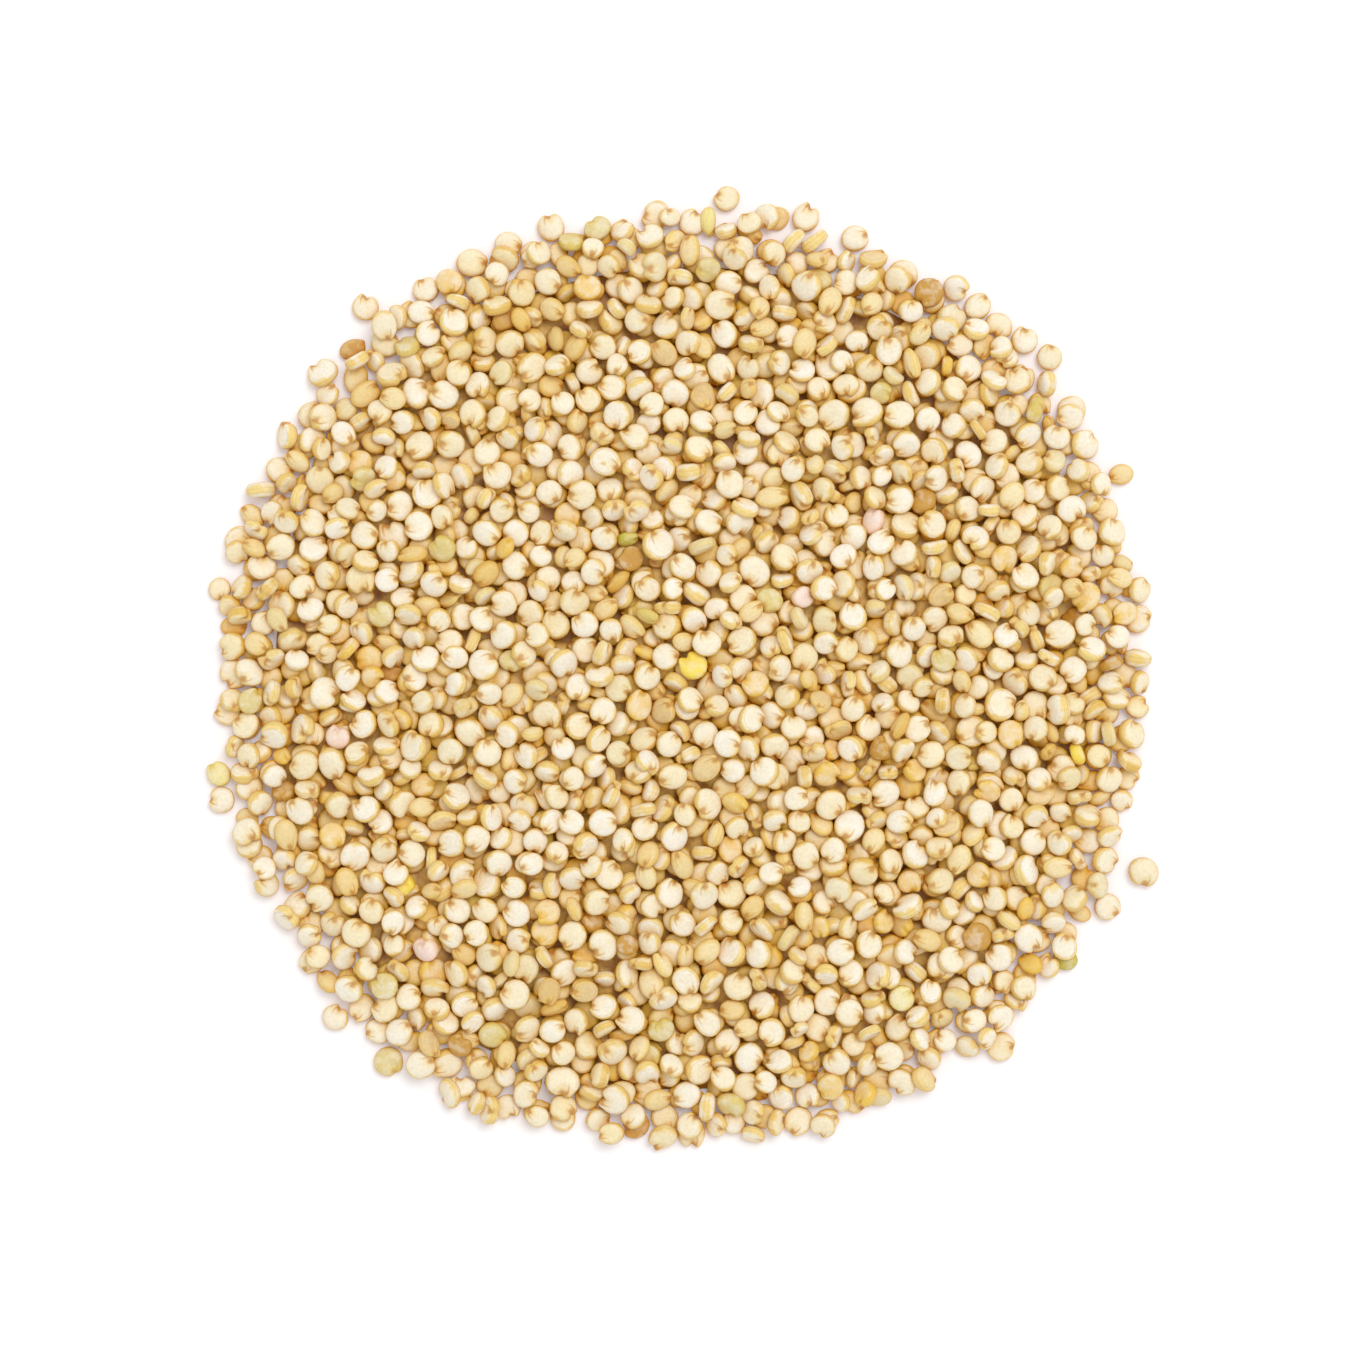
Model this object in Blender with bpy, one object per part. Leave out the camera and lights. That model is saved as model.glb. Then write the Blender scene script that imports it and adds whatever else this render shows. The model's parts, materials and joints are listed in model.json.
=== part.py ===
"""A low, round heap of raw white quinoa as it lies on a flat surface, with a few grains lying loose beside it.

Units are metres, +Z is up, and the origin is at the bottom centre of the whole.
The heap is one solid: a core whose skin is covered with grain-sized bumps, out to an outline made of single grains.
"""

import math
import random

import bmesh
import bpy
import numpy as np
from mathutils import Matrix, Vector
from mathutils.geometry import delaunay_2d_cdt

# Scale of the photograph: a typical grain is 2.1 mm across and spans 26 pixels
GRAIN_DIAMETER = 0.0021
GRAIN_PIXELS = 26.0
METRES_PER_PIXEL = GRAIN_DIAMETER / GRAIN_PIXELS
HEAP_CENTRE_PIXEL = (684.0, 680.0)

# One grain, a thick disc that lies flat
GRAIN_RADIUS = GRAIN_DIAMETER / 2
GRAIN_THICKNESS = 0.00112

# The heap: its mean radius, the waves of its outline (waves round, share of the radius, degrees) and its height
HEAP_RADIUS = 0.0384
OUTLINE_WAVES = ((1, 0.004, 100.0), (2, 0.005, 127.0), (4, 0.012, -170.0))
HEAP_HEIGHT = 0.0041
EDGE_HEIGHT = 0.00115
SLOPE_POWER = 1.5
SWELLS = ((0.019, 20.0, 0.00022), (0.013, 105.0, 0.00018))  # wavelength, heading in degrees, height

# The bumps of the skin, thrown at random with a least spacing
BUMP_SPACING = 0.00218
THROWS = 40000
RING_SPACING = 0.0023
RING_JITTER = 0.0005
GUARD_GAP = 0.0022
VALLEY_DEPTH = 0.00062
BUMP_INSET = 0.00034
BUMP_RISE = 0.0006
RISE_JITTER = 0.00032
TILT_SPREAD = 15.0
TILT_LIMIT = 30.0

# The outline grains, which rest on the surface below
RIM_HEIGHT = 0.0005
GAP_HEIGHT = 0.00034
ARC_POINTS = 2
UNDERCUT = 0.00024

# Grains that lie apart from the heap: centre pixel, diameter in pixels, and the heading of the pointed germ
STRAYS = (
    ((1144.0, 872.0), 31.0, -95.0),
    ((727.0, 198.0), 27.0, 150.0),
    ((1050.0, 357.0), 25.0, 75.0),
)
STRAY_CLEARANCE = 0.00045
STRAY_SIDES = 10
STRAY_BEVEL = 0.00026
GERM_LENGTH = 0.00018

SEED = 41
QUINOA_COLOUR = (0.83, 0.64, 0.39, 1.0)


def outline_radius(angle):
    """The distance from the heap's middle to the outside of its outline, at an angle in radians."""
    waves = sum(share * math.cos(count * angle - math.radians(turn)) for count, share, turn in OUTLINE_WAVES)
    return HEAP_RADIUS * (1 + waves)


def surface_height(x, y):
    """The height of the grains' tops at a place: one grain at the outline, rising to a low dome with soft swells."""
    share = min(1.0, math.hypot(x, y) / (outline_radius(math.atan2(y, x)) - GRAIN_RADIUS))
    rise = (1 - share**2) ** SLOPE_POWER
    swell = 0.0
    for length, heading, height in SWELLS:
        along = x * math.cos(math.radians(heading)) + y * math.sin(math.radians(heading))
        swell += height * math.sin(math.tau * along / length)
    return EDGE_HEIGHT + (HEAP_HEIGHT - EDGE_HEIGHT + swell) * rise


def from_pixel(pixel):
    """The place on the ground that a pixel of the photograph shows, measured from the heap's middle."""
    across = pixel[0] - HEAP_CENTRE_PIXEL[0]
    up = HEAP_CENTRE_PIXEL[1] - pixel[1]
    return Vector((across, up)) * METRES_PER_PIXEL


def clear_of_strays(place):
    """An outline grain's middle, drawn towards the heap's middle until the grain is clear of every loose one."""
    for pixel, span, _ in STRAYS:
        least = GRAIN_RADIUS + span * METRES_PER_PIXEL / 2 + STRAY_CLEARANCE
        while (place - from_pixel(pixel)).length < least:
            place = place * 0.995
    return place


def ring_sites(rng):
    """The middles of the single grains that make the outline."""
    count = round(math.tau * HEAP_RADIUS / RING_SPACING)
    sites = []
    for index in range(count):
        angle = math.tau * (index + rng.uniform(-0.12, 0.12)) / count
        radius = outline_radius(angle) - GRAIN_RADIUS + rng.uniform(-RING_JITTER, RING_JITTER)
        sites.append(clear_of_strays(Vector((radius * math.cos(angle), radius * math.sin(angle)))))
    return sites


def guard_sites(ring):
    """Helper points just outside the outline, which close the cells of the outline grains."""
    guards = []
    for here, after in zip(ring, ring[1:] + ring[:1]):
        middle = (here + after) / 2
        guards.append(middle + middle.normalized() * GUARD_GAP)
    return guards


def inner_sites(rng, ring):
    """Places inside the outline grains, thrown at random and kept where no other place is too near."""
    taken = np.array([tuple(place) for place in ring])
    for _ in range(THROWS):
        x = rng.uniform(-HEAP_RADIUS, HEAP_RADIUS)
        y = rng.uniform(-HEAP_RADIUS, HEAP_RADIUS)
        inside = math.hypot(x, y) < outline_radius(math.atan2(y, x)) - GRAIN_DIAMETER
        if inside and np.hypot(taken[:, 0] - x, taken[:, 1] - y).min() > BUMP_SPACING:
            taken = np.vstack([taken, (x, y)])
    return [Vector(place) for place in taken[len(ring):]]


def arc_round(centre, start, end):
    """Points on a grain's rim from one gap to the next, the outer way round, with the gaps themselves left out."""
    first = math.atan2(start.y - centre.y, start.x - centre.x)
    sweep = (math.atan2(end.y - centre.y, end.x - centre.x) - first) % math.tau
    for step in range(1, ARC_POINTS + 1):
        angle = first + sweep * step / (ARC_POINTS + 1)
        yield centre + Vector((math.cos(angle), math.sin(angle))) * GRAIN_RADIUS


def heap_cells(sites, guards):
    """Splits the heap's plan into one cell a grain.

    Returns the corners as (place, height) pairs, and each cell as its corner numbers.
    """
    places, _, triangles, originals, _, _ = delaunay_2d_cdt(sites + guards, [], [], 0, 1e-7)
    grain_of = [found[0] for found in originals]
    corners = []
    around = [[] for _ in sites]
    for triangle in triangles:
        grains = [grain_of[index] for index in triangle]
        outside = sum(grain >= len(sites) for grain in grains)
        if outside == 3:
            continue
        middle = (places[triangle[0]] + places[triangle[1]] + places[triangle[2]]) / 3
        height = GAP_HEIGHT if outside else surface_height(*middle) - VALLEY_DEPTH
        corners.append((middle, max(height, GAP_HEIGHT)))
        for grain in grains:
            if grain < len(sites):
                around[grain].append((len(corners) - 1, outside))
    cells = []
    for grain, found in enumerate(around):
        centre = sites[grain]
        found.sort(key=lambda item: math.atan2(*(corners[item[0]][0] - centre).yx))
        cells.append(closed_cell(centre, found, corners))
    return corners, cells


def closed_cell(centre, found, corners):
    """The corner numbers of one cell, with a round rim in place of its corners that lie outside the outline."""
    if max(outside for _, outside in found) < 2:
        return [index for index, _ in found]
    while found[0][1] == 2 or found[-1][1] != 2:
        found.append(found.pop(0))
    kept = [index for index, outside in found if outside < 2]
    rim = []
    for place in arc_round(centre, corners[kept[-1]][0], corners[kept[0]][0]):
        corners.append((place, RIM_HEIGHT))
        rim.append(len(corners) - 1)
    return kept + rim


def raise_bumps(bm, rng):
    """Raises each cell into a flat-topped bump of a grain's size, tilted and set at a height of its own."""
    cells = list(bm.faces)
    bmesh.ops.inset_individual(
        bm, faces=cells, thickness=BUMP_INSET, depth=BUMP_RISE, use_even_offset=True
    )
    for cell in cells:
        centre = cell.calc_center_median()
        tilt = max(-TILT_LIMIT, min(TILT_LIMIT, rng.gauss(0, TILT_SPREAD)))
        heading = rng.uniform(0, math.tau)
        turn = Matrix.Rotation(math.radians(tilt), 3, Vector((math.cos(heading), math.sin(heading), 0)))
        on_floor = centre.z < GRAIN_THICKNESS * 1.2
        lift = 0.0 if on_floor else rng.uniform(-RISE_JITTER, RISE_JITTER)
        for corner in cell.verts:
            away = corner.co - centre
            corner.co = centre + (away if on_floor else turn @ away) + Vector((0, 0, lift))


def close_below(bm, anchors):
    """Draws the outline down to the surface below, drawn in a little under each rim, and closes it with a flat base."""
    outline = [edge for edge in bm.edges if edge.is_boundary]
    drawn = bmesh.ops.extrude_edge_only(bm, edges=outline)
    feet = [part for part in drawn["geom"] if isinstance(part, bmesh.types.BMVert)]
    for foot in feet:
        flat = Vector((foot.co.x, foot.co.y))
        anchor = min(anchors, key=lambda place: (place - flat).length_squared)
        inward = (anchor - flat).normalized() * UNDERCUT
        foot.co = (flat.x + inward.x, flat.y + inward.y, 0)
    below = [edge for edge in bm.edges if edge.is_boundary]
    base = bmesh.ops.contextual_create(bm, geom=below)["faces"]
    bmesh.ops.poke(bm, faces=base)


def build_heap(rng):
    """The heap as one mesh."""
    ring = ring_sites(rng)
    sites = ring + inner_sites(rng, ring)
    corners, cells = heap_cells(sites, guard_sites(ring))
    bm = bmesh.new()
    points = [bm.verts.new((place.x, place.y, height)) for place, height in corners]
    for cell in cells:
        bm.faces.new([points[index] for index in cell])
    bmesh.ops.delete(bm, geom=[point for point in bm.verts if not point.link_faces], context="VERTS")
    raise_bumps(bm, rng)
    close_below(bm, sites)
    bmesh.ops.recalc_face_normals(bm, faces=bm.faces)
    mesh = bpy.data.meshes.new("quinoa_heap")
    bm.to_mesh(mesh)
    bm.free()
    return mesh


def build_stray(diameter, heading):
    """One loose grain lying flat: a disc with a bevelled rim, drawn out to a point at its germ."""
    bm = bmesh.new()
    bmesh.ops.create_cone(
        bm,
        cap_ends=True,
        segments=STRAY_SIDES,
        radius1=diameter / 2,
        radius2=diameter / 2,
        depth=GRAIN_THICKNESS,
        matrix=Matrix.Translation((0, 0, GRAIN_THICKNESS / 2)),
    )
    rims = [edge for edge in bm.edges if abs(edge.verts[0].co.z - edge.verts[1].co.z) < STRAY_BEVEL]
    bmesh.ops.bevel(bm, geom=rims, offset=STRAY_BEVEL, offset_type="OFFSET", segments=1, affect="EDGES")
    tip = max(bm.verts, key=lambda point: point.co.x).co.x
    for point in bm.verts:
        if point.co.x > tip - STRAY_BEVEL / 2:
            point.co.x += GERM_LENGTH
    bmesh.ops.rotate(bm, verts=bm.verts, matrix=Matrix.Rotation(math.radians(heading), 3, "Z"))
    bmesh.ops.recalc_face_normals(bm, faces=bm.faces)
    mesh = bpy.data.meshes.new("stray_grain")
    bm.to_mesh(mesh)
    bm.free()
    return mesh


def quinoa_material():
    """Raw white quinoa: cream faces and honey-coloured rims, with a dry, satin seed coat."""
    material = bpy.data.materials.new("quinoa")
    material.use_nodes = True
    shader = material.node_tree.nodes["Principled BSDF"]
    shader.inputs["Base Color"].default_value = QUINOA_COLOUR
    shader.inputs["Roughness"].default_value = 0.55
    shader.inputs["Metallic"].default_value = 0.0
    return material


def place(name, mesh, location, material):
    """Adds a mesh to the scene as a named object."""
    mesh.materials.append(material)
    made = bpy.data.objects.new(name, mesh)
    made.location = location
    bpy.context.scene.collection.objects.link(made)
    return made


def centre_on_origin(pieces):
    """Moves the pieces together, so that the middle of their bounding box stands on the origin."""
    corners = [piece.location + point.co for piece in pieces for point in piece.data.vertices]
    middle = Vector()
    for axis in (0, 1):
        middle[axis] = (min(corner[axis] for corner in corners) + max(corner[axis] for corner in corners)) / 2
    for piece in pieces:
        piece.location -= middle


def main():
    """Clears the scene and builds the heap and the loose grains."""
    for old in list(bpy.data.objects):
        bpy.data.objects.remove(old)
    rng = random.Random(SEED)
    material = quinoa_material()
    pieces = [place("quinoa_heap", build_heap(rng), Vector(), material)]
    for number, (pixel, span, heading) in enumerate(STRAYS, 1):
        mesh = build_stray(span * METRES_PER_PIXEL, heading)
        pieces.append(place(f"stray_grain_{number}", mesh, from_pixel(pixel).to_3d(), material))
    centre_on_origin(pieces)


main()
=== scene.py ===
"""A low heap of raw white quinoa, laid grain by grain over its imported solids.

A small mound stands at the heart of the heap. Grains are dropped where the heap is still too low: each one
slides and tips until its middle lies as low as it can, and so raises the ground for the next. Geometry Nodes
then set a modelled grain in each of those places, with one mesh for each kind of grain.

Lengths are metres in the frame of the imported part, with +Z up, unless a name ends in _px or _degrees.
"""

import json
import logging
import math
from dataclasses import dataclass
from enum import Enum
from functools import cached_property, partial

import bpy
import numpy as np
from bpy.types import Collection, Material, Mesh, Node, NodeSocket, NodeTree, Object
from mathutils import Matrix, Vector

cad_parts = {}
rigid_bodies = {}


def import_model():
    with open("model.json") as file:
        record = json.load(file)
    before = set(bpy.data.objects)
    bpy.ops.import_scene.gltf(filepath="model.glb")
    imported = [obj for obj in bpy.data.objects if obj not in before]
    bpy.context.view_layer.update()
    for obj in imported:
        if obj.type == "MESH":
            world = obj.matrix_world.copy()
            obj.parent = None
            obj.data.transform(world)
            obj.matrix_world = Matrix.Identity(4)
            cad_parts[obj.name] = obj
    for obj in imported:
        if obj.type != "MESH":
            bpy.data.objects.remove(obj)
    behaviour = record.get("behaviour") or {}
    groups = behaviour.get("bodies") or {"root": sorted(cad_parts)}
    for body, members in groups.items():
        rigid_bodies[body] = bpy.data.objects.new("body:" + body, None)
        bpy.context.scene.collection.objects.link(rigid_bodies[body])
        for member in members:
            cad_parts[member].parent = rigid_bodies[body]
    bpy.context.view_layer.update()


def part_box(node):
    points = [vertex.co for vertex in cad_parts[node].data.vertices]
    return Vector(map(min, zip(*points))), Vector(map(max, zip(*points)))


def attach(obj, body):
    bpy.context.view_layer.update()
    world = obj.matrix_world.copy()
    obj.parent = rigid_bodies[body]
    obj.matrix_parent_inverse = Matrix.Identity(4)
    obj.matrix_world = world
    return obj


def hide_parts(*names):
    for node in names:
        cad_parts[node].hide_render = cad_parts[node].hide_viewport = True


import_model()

LOG = logging.getLogger("quinoa")
MM = 0.001
SEED = 20
GROUND_REACH = 42.0 * MM
GROUND_STEP = 0.1 * MM
SURFACE_BLUR = 0.9 * MM
# Between which values a noise has nearly all of its patches
CLOUDS = (0.3, 0.7)


class Kind(Enum):
    """The kinds of grain that show in the heap, each of which becomes one mesh."""

    PLUMP = "plump_grains"
    BROAD = "broad_grains"
    NOTCHED = "notched_grains"
    RINGED = "ringed_grains"
    OVAL = "oval_grains"
    CURLED = "curled_grains"
    HUSKY = "husky_grains"


class Tint(Enum):
    """Stains of the seed coat that stand out: an sRGB colour, and how much of the coat it covers."""

    NONE = ("#FFFFFF", 0.0)
    YELLOW = ("#F6D434", 0.85)
    LEMON = ("#E6DA72", 0.6)
    GREEN = ("#B4AA1E", 0.85)
    PINK = ("#F8D2C8", 0.65)
    BROWN = ("#BC8224", 1.0)
    OLIVE = ("#CDB24A", 0.7)
    GOLDEN = ("#E6B020", 0.65)


class Step(Enum):
    """Nodes that the finishes use again and again: Blender's name for each, and its settings."""

    ADD = ("ShaderNodeMath", {"operation": "ADD"})
    SUBTRACT = ("ShaderNodeMath", {"operation": "SUBTRACT"})
    MULTIPLY = ("ShaderNodeMath", {"operation": "MULTIPLY"})
    ABSOLUTE = ("ShaderNodeMath", {"operation": "ABSOLUTE"})
    SCALE = ("ShaderNodeVectorMath", {"operation": "SCALE"})
    SPREAD = ("ShaderNodeMapRange", {"interpolation_type": "SMOOTHSTEP"})
    MIX = ("ShaderNodeMix", {"data_type": "RGBA", "clamp_factor": True})


def to_linear(hex_colour: str) -> tuple[float, float, float, float]:
    """Turns a colour as painters and screens give it into the linear light that shaders use.

    Args:
        hex_colour: An sRGB colour such as "#E4DAC4".

    Returns:
        Linear red, green, blue and an alpha of 1.
    """
    shares = [int(hex_colour[start : start + 2], 16) / 255 for start in (1, 3, 5)]
    linear = [share / 12.92 if share <= 0.04045 else ((share + 0.055) / 1.055) ** 2.4 for share in shares]
    return (*linear, 1.0)


def give(tree: NodeTree, socket: NodeSocket, value: object) -> None:
    """Gives a node's input what it takes.

    Args:
        tree: The tree of the node.
        socket: The input.
        value: A plain value, an sRGB colour, an output, or a node, which stands for its first output in use.
    """
    if isinstance(value, Node):
        value = next(output for output in value.outputs if output.enabled)
    if isinstance(value, NodeSocket):
        tree.links.new(value, socket)
    else:
        socket.default_value = to_linear(value) if str(value).startswith("#") else value


def add_node(tree: NodeTree, kind: Step | str, *values: object, **settings: object) -> Node:
    """Adds one node with its settings, values and links.

    Args:
        tree: The tree that the node joins.
        kind: One of the usual steps, or Blender's name for the node's type.
        *values: What the inputs in use take, in their order, with None for one that stays as it is.
        **settings: The node's own options.

    Returns:
        The new node.
    """
    name, usual = kind.value if isinstance(kind, Step) else (kind, {})
    node = tree.nodes.new(name)
    for setting, choice in (usual | settings).items():
        setattr(node, setting, choice)
    for socket, value in zip([socket for socket in node.inputs if socket.enabled], values):
        if value is not None:
            give(tree, socket, value)
    return node


def new_material(name: str) -> tuple[Material, NodeTree]:
    """Adds a material.

    Args:
        name: Its name.

    Returns:
        The material and its node tree.
    """
    material = bpy.data.materials.new(name)
    material.use_nodes = True
    return material, material.node_tree


def set_shader(tree: NodeTree, inputs: dict[str, object]) -> None:
    """Gives the shader of a material's tree what its inputs take, by their names."""
    for name, value in inputs.items():
        give(tree, tree.nodes["Principled BSDF"].inputs[name], value)


def add_object(name: str, data: bpy.types.ID) -> Object:
    """Adds an object at the origin.

    Args:
        name: Its name.
        data: Its mesh, lamp or camera.

    Returns:
        The object.
    """
    made = bpy.data.objects.new(name, data)
    bpy.context.scene.collection.objects.link(made)
    return made


def smooth_step(value: np.ndarray, low: float, high: float) -> np.ndarray:
    """Rises softly from 0 at low to 1 at high."""
    share = np.clip((value - low) / (high - low), 0, 1)
    return share * share * (3 - 2 * share)


def bell(value: np.ndarray, middle: float, width: float) -> np.ndarray:
    """Rises softly to 1 round a middle."""
    return np.exp(-(((value - middle) / width) ** 2))


def rotations(vectors: np.ndarray) -> np.ndarray:
    """Turns rotation vectors into rotation matrices.

    Args:
        vectors: The axes, one row each, as long as the angle in radians.

    Returns:
        The matrices.
    """
    angle = np.linalg.norm(vectors, axis=-1)[:, None, None]
    axis = vectors / np.maximum(np.linalg.norm(vectors, axis=-1, keepdims=True), 1e-12)
    cross = np.zeros((len(vectors), 3, 3))
    cross[:, 0, 1], cross[:, 0, 2], cross[:, 1, 2] = -axis[:, 2], axis[:, 1], -axis[:, 0]
    cross[:, 1, 0], cross[:, 2, 0], cross[:, 2, 1] = axis[:, 2], -axis[:, 1], axis[:, 0]
    return np.eye(3) + np.sin(angle) * cross + (1 - np.cos(angle)) * (cross @ cross)


def rotation(x: float, y: float, z: float) -> np.ndarray:
    """The rotation matrix of one rotation vector."""
    return rotations(np.array([(x, y, z)]))[0]


@dataclass(frozen=True)
class Marked:
    """A grain that the photograph shows in one certain place.

    Attributes:
        pixel: Where its middle is in the photograph.
        span_px: How many pixels it spans.
        kind: The kind of grain.
        heading_degrees: Which way its germ points.
        tint: A stain of its coat.
    """

    pixel: tuple[float, float]
    span_px: float
    kind: Kind
    heading_degrees: float
    tint: Tint = Tint.NONE


LOOSE_GRAINS = (
    Marked((1144, 872), 31, Kind.PLUMP, -95),
    Marked((727, 198), 27, Kind.BROAD, 150),
    Marked((1050, 357), 25, Kind.PLUMP, 75),
)
OUTLINE_GRAINS = (
    Marked((806, 217), 28, Kind.CURLED, 60),
    Marked((1108, 907), 27, Kind.BROAD, -50),
    Marked((219, 589), 24, Kind.BROAD, -90),
    Marked((365, 307), 27, Kind.NOTCHED, 80),
    Marked((508, 244), 27, Kind.PLUMP, -20),
    Marked((551, 227), 27, Kind.NOTCHED, 100),
    Marked((472, 263), 30, Kind.PLUMP, -15),
    Marked((453, 285), 26, Kind.BROAD, 190),
    Marked((855, 238), 27, Kind.PLUMP, 10),
    Marked((978, 306), 27, Kind.PLUMP, 40),
    Marked((1025, 340), 26, Kind.NOTCHED, 80),
    Marked((1122, 474), 24, Kind.OVAL, 190),
    Marked((218, 774), 24, Kind.BROAD, 120, Tint.LEMON),
    Marked((221, 800), 26, Kind.NOTCHED, 170),
    Marked((335, 1018), 27, Kind.NOTCHED, 60),
    Marked((388, 1062), 28, Kind.BROAD, -60, Tint.OLIVE),
    Marked((1001, 1047), 29, Kind.BROAD, -10),
    Marked((1066, 959), 24, Kind.PLUMP, 20, Tint.GREEN),
    Marked((352, 349), 27, Kind.OVAL, 20, Tint.BROWN),
)
STAINED_GRAINS = (
    Marked((699, 663), 27, Kind.CURLED, 130, Tint.YELLOW),
    Marked((407, 880), 27, Kind.PLUMP, -40, Tint.YELLOW),
    Marked((1067, 763), 24, Kind.PLUMP, 60, Tint.YELLOW),
    Marked((918, 990), 26, Kind.BROAD, 30, Tint.LEMON),
    Marked((700, 219), 26, Kind.OVAL, -90, Tint.LEMON),
    Marked((630, 527), 22, Kind.OVAL, 10, Tint.GREEN),
    Marked((871, 517), 27, Kind.BROAD, 60, Tint.PINK),
    Marked((800, 600), 23, Kind.NOTCHED, 10, Tint.PINK),
    Marked((434, 943), 25, Kind.NOTCHED, 80, Tint.PINK),
    Marked((334, 734), 24, Kind.NOTCHED, 80, Tint.PINK),
    Marked((513, 316), 27, Kind.HUSKY, 30, Tint.BROWN),
    Marked((417, 349), 27, Kind.RINGED, 150, Tint.OLIVE),
    Marked((707, 279), 28, Kind.BROAD, 160, Tint.OLIVE),
)
# Where riper grains gather: the middle of each patch, and how far it spreads
RIPE_PATCHES_PX = ((527.0, 319.0, 62.0), (570.0, 1085.0, 60.0), (1130.0, 755.0, 55.0), (225.0, 610.0, 45.0))


@dataclass(frozen=True)
class PhotoScale:
    """Where pixels of the photograph lie on the ground.

    A typical grain of raw white quinoa is 2.1 mm across and spans 26 pixels, which sets the scale.

    Attributes:
        image_px: The width and height of the photograph.
        grain_diameter: How wide a typical grain is.
        grain_px: How many pixels it spans.
        heap_centre_px: Where the heap's middle is in the photograph.
    """

    image_px: float = 1366.0
    grain_diameter: float = 2.1 * MM
    grain_px: float = 26.0
    heap_centre_px: tuple[float, float] = (684.0, 680.0)

    def metres_per_pixel(self) -> float:
        """The size of one pixel on the ground."""
        return self.grain_diameter / self.grain_px

    def from_heap_centre(self, pixel: tuple[float, float]) -> np.ndarray:
        """Measures the way from the heap's middle to a pixel.

        Args:
            pixel: A place in the photograph.

        Returns:
            The way in metres along X and Y.
        """
        across = pixel[0] - self.heap_centre_px[0]
        up = self.heap_centre_px[1] - pixel[1]
        return np.array((across, up)) * self.metres_per_pixel()

    @cached_property
    def heap_centre(self) -> np.ndarray:
        """Finds the heap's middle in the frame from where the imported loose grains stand.

        Returns:
            Its X and Y.
        """
        gaps = []
        for number, marked in enumerate(LOOSE_GRAINS, 1):
            low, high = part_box(f"stray_grain_{number}")
            middle = (low + high) / 2
            gaps.append(np.array((middle.x, middle.y)) - self.from_heap_centre(marked.pixel))
        return np.mean(gaps, axis=0)

    def place(self, pixel: tuple[float, float]) -> np.ndarray:
        """The place in the frame that a pixel of the photograph shows."""
        return self.heap_centre + self.from_heap_centre(pixel)


@dataclass(frozen=True)
class HeapShape:
    """The form of the heap: its outline, and the height that its uppermost grains reach.

    Attributes:
        centre: The heap's middle.
        grain_radius: Half the width of a typical grain.
        radius: The mean distance from the middle to the outline.
        outline_waves: The waves of the outline: how many go round, their share of the radius, and their turn.
        height: How high the middle is, without the swells.
        edge_height: How high the outermost grains are.
        slope_power: How fast the heap rises from its edge.
        swells: The swells of its surface: their wavelength, heading and height.
        scallops: The waves of the ragged edge, told as the outline's are.
    """

    centre: tuple[float, float]
    grain_radius: float
    radius: float = 38.4 * MM
    outline_waves: tuple[tuple[int, float, float], ...] = (
        (1, 0.004, 100.0), (2, 0.005, 127.0), (4, 0.012, -170.0)
    )
    height: float = 4.1 * MM
    edge_height: float = 1.15 * MM
    slope_power: float = 1.5
    swells: tuple[tuple[float, float, float], ...] = (
        (19.0 * MM, 20.0, 0.22 * MM), (13.0 * MM, 105.0, 0.18 * MM)
    )
    scallops: tuple[tuple[int, float, float], ...] = (
        (9, 0.006, 40.0), (17, 0.008, 200.0), (31, 0.009, 310.0), (47, 0.008, 95.0)
    )

    def outline(self, angle: np.ndarray) -> np.ndarray:
        """The distance from the heap's middle to its outline, at angles in radians."""
        return self.radius * (1 + self.waves(angle, self.outline_waves))

    @staticmethod
    def waves(angle: np.ndarray, told: tuple[tuple[int, float, float], ...]) -> np.ndarray:
        """The sum of the waves that are told by their number round the heap, their share and their turn."""
        return sum(share * np.cos(count * angle - math.radians(turn)) for count, share, turn in told)

    def share_out(self, x: np.ndarray, y: np.ndarray) -> np.ndarray:
        """How far out places lie: 0 at the heap's middle, 1 where the middles of its outermost grains are."""
        x, y = x - self.centre[0], y - self.centre[1]
        return np.hypot(x, y) / (self.outline(np.arctan2(y, x)) - self.grain_radius)

    def ragged_edge(self, x: np.ndarray, y: np.ndarray) -> np.ndarray:
        """How far out grains may lie, by the measure of share_out, on the way from the middle to places."""
        angle = np.arctan2(y - self.centre[1], x - self.centre[0])
        return 1 + self.waves(angle, self.scallops)

    def top(self, x: np.ndarray, y: np.ndarray) -> np.ndarray:
        """Works out the height that the grains' tops reach.

        Args:
            x: Places in the frame along X.
            y: The same places along Y.

        Returns:
            The height at each place.
        """
        rise = (1 - np.clip(self.share_out(x, y), 0, 1) ** 2) ** self.slope_power
        swell = np.zeros_like(rise)
        for length, heading, height in self.swells:
            turn = math.radians(heading)
            along = (x - self.centre[0]) * math.cos(turn) + (y - self.centre[1]) * math.sin(turn)
            swell = swell + height * np.sin(math.tau * along / length)
        return self.edge_height + (self.height - self.edge_height + swell) * rise


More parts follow.
